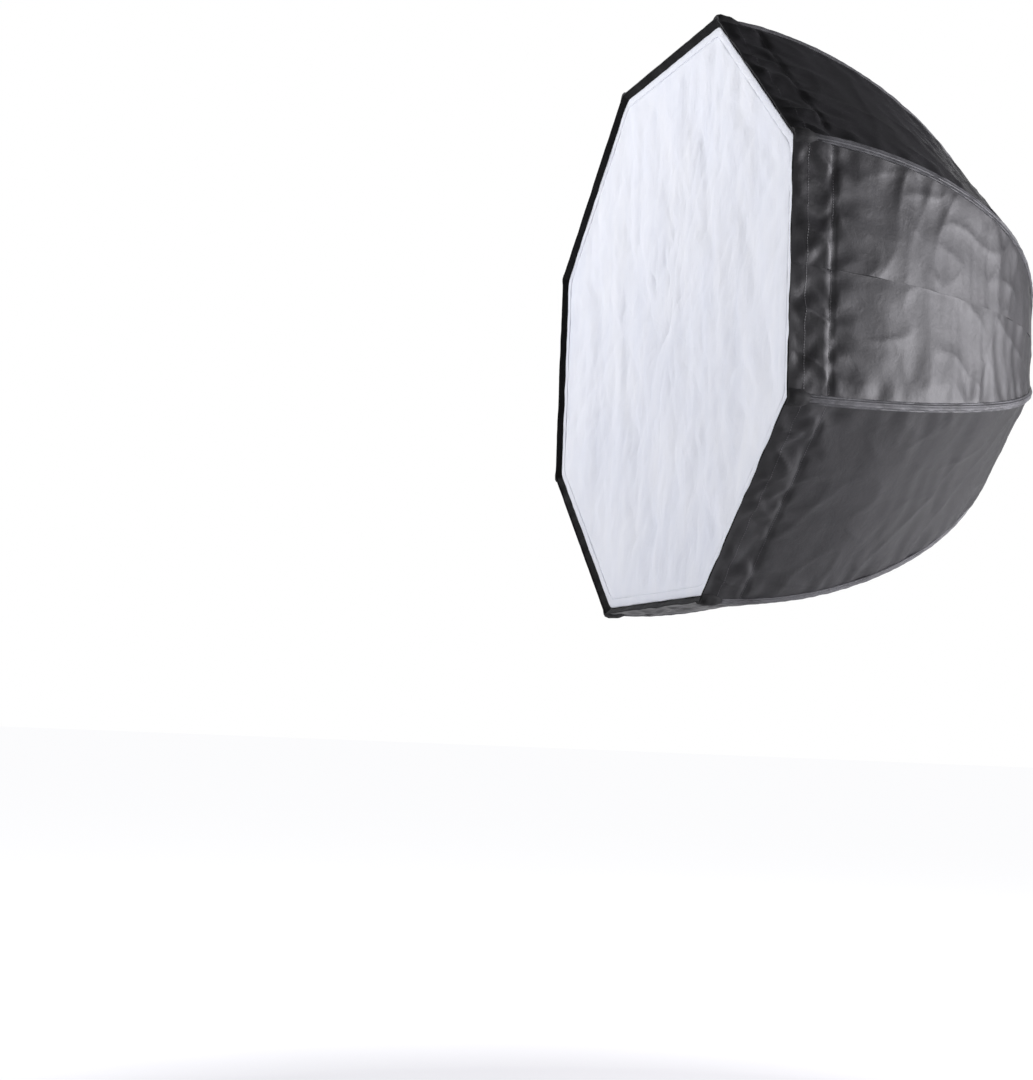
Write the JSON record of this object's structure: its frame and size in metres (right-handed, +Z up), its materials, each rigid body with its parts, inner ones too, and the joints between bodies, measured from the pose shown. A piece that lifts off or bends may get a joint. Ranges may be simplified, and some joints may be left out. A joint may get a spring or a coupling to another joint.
{
  "type": "octagonal umbrella softbox",
  "caption": "Octagonal folding light softbox: black fabric shell with silver lining on hinged ribs and a runner, with a white push-on diffuser.",
  "frame": {"origin": "on the shaft's axis, above the stand slot, where a bracket clamps the shaft", "axes": "+Y runs back along the shaft to the crown, so the open front faces -Y; +Z is up and the stand slot is at -Z; +X is to the right seen from the front"},
  "size_m": [0.8, 0.591, 0.8],
  "materials": {
    "shell_nylon": "black coated nylon, silver inside",
    "silver_lining": "crinkled silver foil cloth",
    "fibreglass": "pale fibreglass rod, satin",
    "dark_plastic": "moulded black nylon",
    "shaft_metal": "satin anodised tube",
    "pin_steel": "steel wire",
    "button_plastic": "moulded grey plastic",
    "diffuser_cloth": "thin white diffusion cloth",
    "diffuser_binding": "white edge tape",
    "hook_and_loop": "black hook-and-loop tape"
  },
  "bodies": {
    "shaft": {"shaft_tube": "shaft_metal", "shaft_end_cap": "dark_plastic", "crown_hub": "dark_plastic", "crown_pins": "pin_steel", "crown_cap": "dark_plastic"},
    "runner": {"runner": "dark_plastic"},
    "button": {"runner_button": "button_plastic"},
    "diffuser": {"diffuser_cloth": "diffuser_cloth", "diffuser_binding": "diffuser_binding"},
    "rib_rear_1": {"rib_rear_1": "fibreglass", "rib_clip_1": "dark_plastic", "canopy_rear_1": "shell_nylon"},
    "rib_front_1": {"rib_front_1": "fibreglass", "canopy_front_1": "shell_nylon"},
    "stretcher_1": {"stretcher_1": "fibreglass"},
    "rib_rear_2": {"rib_rear_2": "fibreglass", "rib_clip_2": "dark_plastic", "canopy_rear_2": "shell_nylon"},
    "rib_front_2": {"rib_front_2": "fibreglass", "canopy_front_2": "shell_nylon"},
    "stretcher_2": {"stretcher_2": "fibreglass"},
    "rib_rear_3": {"rib_rear_3": "fibreglass", "rib_clip_3": "dark_plastic", "canopy_rear_3": "shell_nylon"},
    "rib_front_3": {"rib_front_3": "fibreglass", "canopy_front_3": "shell_nylon"},
    "stretcher_3": {"stretcher_3": "fibreglass"},
    "rib_rear_4": {"rib_rear_4": "fibreglass", "rib_clip_4": "dark_plastic", "canopy_rear_4": "shell_nylon"},
    "rib_front_4": {"rib_front_4": "fibreglass", "canopy_front_4": "shell_nylon"},
    "stretcher_4": {"stretcher_4": "fibreglass"},
    "rib_rear_5": {"rib_rear_5": "fibreglass", "rib_clip_5": "dark_plastic", "canopy_rear_5": "shell_nylon"},
    "rib_front_5": {"rib_front_5": "fibreglass", "canopy_front_5": "shell_nylon"},
    "stretcher_5": {"stretcher_5": "fibreglass"},
    "rib_rear_6": {"rib_rear_6": "fibreglass", "rib_clip_6": "dark_plastic", "canopy_rear_6": "shell_nylon"},
    "rib_front_6": {"rib_front_6": "fibreglass", "canopy_front_6": "shell_nylon", "slot_strip_left": "hook_and_loop"},
    "stretcher_6": {"stretcher_6": "fibreglass"},
    "rib_rear_7": {"rib_rear_7": "fibreglass", "rib_clip_7": "dark_plastic", "canopy_rear_7": "shell_nylon"},
    "rib_front_7": {"rib_front_7": "fibreglass", "canopy_front_7": "shell_nylon", "slot_strip_right": "hook_and_loop"},
    "stretcher_7": {"stretcher_7": "fibreglass"},
    "rib_rear_8": {"rib_rear_8": "fibreglass", "rib_clip_8": "dark_plastic", "canopy_rear_8": "shell_nylon"},
    "rib_front_8": {"rib_front_8": "fibreglass", "canopy_front_8": "shell_nylon"},
    "stretcher_8": {"stretcher_8": "fibreglass"}
  },
  "joints": [
    {"name": "runner_slide", "type": "slide", "parent": "shaft", "child": "runner", "axis": [0, -1, 0], "range_m": [0, 0.2334], "deforming": ["canopy_rear_1", "canopy_rear_2", "canopy_rear_3", "canopy_rear_4", "canopy_rear_5", "canopy_rear_6", "canopy_rear_7", "canopy_rear_8", "canopy_front_1", "canopy_front_2", "canopy_front_3", "canopy_front_4", "canopy_front_5", "canopy_front_6", "canopy_front_7", "canopy_front_8", "diffuser_cloth", "diffuser_binding", "slot_strip_left", "slot_strip_right"]},
    {"name": "button_press", "type": "slide", "parent": "runner", "child": "button", "axis": [0, 0, -1], "range_m": [0, 0.003], "stiffness_N_per_m": 600},
    {"name": "diffuser_off", "type": "slide", "parent": "runner", "child": "diffuser", "axis": [0, 1, 0], "range_m": [-0.45, 0]},
    {"name": "rib_rear_fold_1", "type": "hinge", "parent": "shaft", "child": "rib_rear_1", "pos_m": [0.01109, 0.32, 0.00459], "axis": [0.3827, 0, -0.9239], "range_deg": [0, 50]},
    {"name": "rib_front_fold_1", "type": "hinge", "parent": "rib_rear_1", "child": "rib_front_1", "pos_m": [0.30613, 0.09638, 0.1268], "axis": [0.3827, 0, -0.9239], "range_deg": [-37, 0]},
    {"name": "stretcher_fold_1", "type": "hinge", "parent": "rib_rear_1", "child": "stretcher_1", "pos_m": [0.19351, 0.22336, 0.08016], "axis": [0.3827, 0, -0.9239], "range_deg": [-100, 0]},
    {"name": "rib_rear_fold_2", "type": "hinge", "parent": "shaft", "child": "rib_rear_2", "pos_m": [0.00459, 0.32, 0.01109], "axis": [0.9239, 0, -0.3827], "range_deg": [0, 50]},
    {"name": "rib_front_fold_2", "type": "hinge", "parent": "rib_rear_2", "child": "rib_front_2", "pos_m": [0.1268, 0.09638, 0.30613], "axis": [0.9239, 0, -0.3827], "range_deg": [-37, 0]},
    {"name": "stretcher_fold_2", "type": "hinge", "parent": "rib_rear_2", "child": "stretcher_2", "pos_m": [0.08016, 0.22336, 0.19351], "axis": [0.9239, 0, -0.3827], "range_deg": [-100, 0]},
    {"name": "rib_rear_fold_3", "type": "hinge", "parent": "shaft", "child": "rib_rear_3", "pos_m": [-0.00459, 0.32, 0.01109], "axis": [0.9239, 0, 0.3827], "range_deg": [0, 50]},
    {"name": "rib_front_fold_3", "type": "hinge", "parent": "rib_rear_3", "child": "rib_front_3", "pos_m": [-0.1268, 0.09638, 0.30613], "axis": [0.9239, 0, 0.3827], "range_deg": [-37, 0]},
    {"name": "stretcher_fold_3", "type": "hinge", "parent": "rib_rear_3", "child": "stretcher_3", "pos_m": [-0.08016, 0.22336, 0.19351], "axis": [0.9239, 0, 0.3827], "range_deg": [-100, 0]},
    {"name": "rib_rear_fold_4", "type": "hinge", "parent": "shaft", "child": "rib_rear_4", "pos_m": [-0.01109, 0.32, 0.00459], "axis": [0.3827, 0, 0.9239], "range_deg": [0, 50]},
    {"name": "rib_front_fold_4", "type": "hinge", "parent": "rib_rear_4", "child": "rib_front_4", "pos_m": [-0.30613, 0.09638, 0.1268], "axis": [0.3827, 0, 0.9239], "range_deg": [-37, 0]},
    {"name": "stretcher_fold_4", "type": "hinge", "parent": "rib_rear_4", "child": "stretcher_4", "pos_m": [-0.19351, 0.22336, 0.08016], "axis": [0.3827, 0, 0.9239], "range_deg": [-100, 0]},
    {"name": "rib_rear_fold_5", "type": "hinge", "parent": "shaft", "child": "rib_rear_5", "pos_m": [-0.01109, 0.32, -0.00459], "axis": [-0.3827, 0, 0.9239], "range_deg": [0, 50]},
    {"name": "rib_front_fold_5", "type": "hinge", "parent": "rib_rear_5", "child": "rib_front_5", "pos_m": [-0.30613, 0.09638, -0.1268], "axis": [-0.3827, 0, 0.9239], "range_deg": [-37, 0]},
    {"name": "stretcher_fold_5", "type": "hinge", "parent": "rib_rear_5", "child": "stretcher_5", "pos_m": [-0.19351, 0.22336, -0.08016], "axis": [-0.3827, 0, 0.9239], "range_deg": [-100, 0]},
    {"name": "rib_rear_fold_6", "type": "hinge", "parent": "shaft", "child": "rib_rear_6", "pos_m": [-0.00459, 0.32, -0.01109], "axis": [-0.9239, 0, 0.3827], "range_deg": [0, 50]},
    {"name": "rib_front_fold_6", "type": "hinge", "parent": "rib_rear_6", "child": "rib_front_6", "pos_m": [-0.1268, 0.09638, -0.30613], "axis": [-0.9239, 0, 0.3827], "range_deg": [-37, 0]},
    {"name": "stretcher_fold_6", "type": "hinge", "parent": "rib_rear_6", "child": "stretcher_6", "pos_m": [-0.08016, 0.22336, -0.19351], "axis": [-0.9239, 0, 0.3827], "range_deg": [-100, 0]},
    {"name": "rib_rear_fold_7", "type": "hinge", "parent": "shaft", "child": "rib_rear_7", "pos_m": [0.00459, 0.32, -0.01109], "axis": [-0.9239, 0, -0.3827], "range_deg": [0, 50]},
    {"name": "rib_front_fold_7", "type": "hinge", "parent": "rib_rear_7", "child": "rib_front_7", "pos_m": [0.1268, 0.09638, -0.30613], "axis": [-0.9239, 0, -0.3827], "range_deg": [-37, 0]},
    {"name": "stretcher_fold_7", "type": "hinge", "parent": "rib_rear_7", "child": "stretcher_7", "pos_m": [0.08016, 0.22336, -0.19351], "axis": [-0.9239, 0, -0.3827], "range_deg": [-100, 0]},
    {"name": "rib_rear_fold_8", "type": "hinge", "parent": "shaft", "child": "rib_rear_8", "pos_m": [0.01109, 0.32, -0.00459], "axis": [-0.3827, 0, -0.9239], "range_deg": [0, 50]},
    {"name": "rib_front_fold_8", "type": "hinge", "parent": "rib_rear_8", "child": "rib_front_8", "pos_m": [0.30613, 0.09638, -0.1268], "axis": [-0.3827, 0, -0.9239], "range_deg": [-37, 0]},
    {"name": "stretcher_fold_8", "type": "hinge", "parent": "rib_rear_8", "child": "stretcher_8", "pos_m": [0.19351, 0.22336, -0.08016], "axis": [-0.3827, 0, -0.9239], "range_deg": [-100, 0]}
  ],
  "couplings": [
    {"joint": "rib_rear_fold_1", "follows": "runner_slide", "rad_per_m": 3.7389},
    {"joint": "rib_front_fold_1", "follows": "runner_slide", "rad_per_m": -2.7668},
    {"joint": "stretcher_fold_1", "follows": "runner_slide", "rad_per_m": -7.4778},
    {"joint": "rib_rear_fold_2", "follows": "runner_slide", "rad_per_m": 3.7389},
    {"joint": "rib_front_fold_2", "follows": "runner_slide", "rad_per_m": -2.7668},
    {"joint": "stretcher_fold_2", "follows": "runner_slide", "rad_per_m": -7.4778},
    {"joint": "rib_rear_fold_3", "follows": "runner_slide", "rad_per_m": 3.7389},
    {"joint": "rib_front_fold_3", "follows": "runner_slide", "rad_per_m": -2.7668},
    {"joint": "stretcher_fold_3", "follows": "runner_slide", "rad_per_m": -7.4778},
    {"joint": "rib_rear_fold_4", "follows": "runner_slide", "rad_per_m": 3.7389},
    {"joint": "rib_front_fold_4", "follows": "runner_slide", "rad_per_m": -2.7668},
    {"joint": "stretcher_fold_4", "follows": "runner_slide", "rad_per_m": -7.4778},
    {"joint": "rib_rear_fold_5", "follows": "runner_slide", "rad_per_m": 3.7389},
    {"joint": "rib_front_fold_5", "follows": "runner_slide", "rad_per_m": -2.7668},
    {"joint": "stretcher_fold_5", "follows": "runner_slide", "rad_per_m": -7.4778},
    {"joint": "rib_rear_fold_6", "follows": "runner_slide", "rad_per_m": 3.7389},
    {"joint": "rib_front_fold_6", "follows": "runner_slide", "rad_per_m": -2.7668},
    {"joint": "stretcher_fold_6", "follows": "runner_slide", "rad_per_m": -7.4778},
    {"joint": "rib_rear_fold_7", "follows": "runner_slide", "rad_per_m": 3.7389},
    {"joint": "rib_front_fold_7", "follows": "runner_slide", "rad_per_m": -2.7668},
    {"joint": "stretcher_fold_7", "follows": "runner_slide", "rad_per_m": -7.4778},
    {"joint": "rib_rear_fold_8", "follows": "runner_slide", "rad_per_m": 3.7389},
    {"joint": "rib_front_fold_8", "follows": "runner_slide", "rad_per_m": -2.7668},
    {"joint": "stretcher_fold_8", "follows": "runner_slide", "rad_per_m": -7.4778}
  ]
}
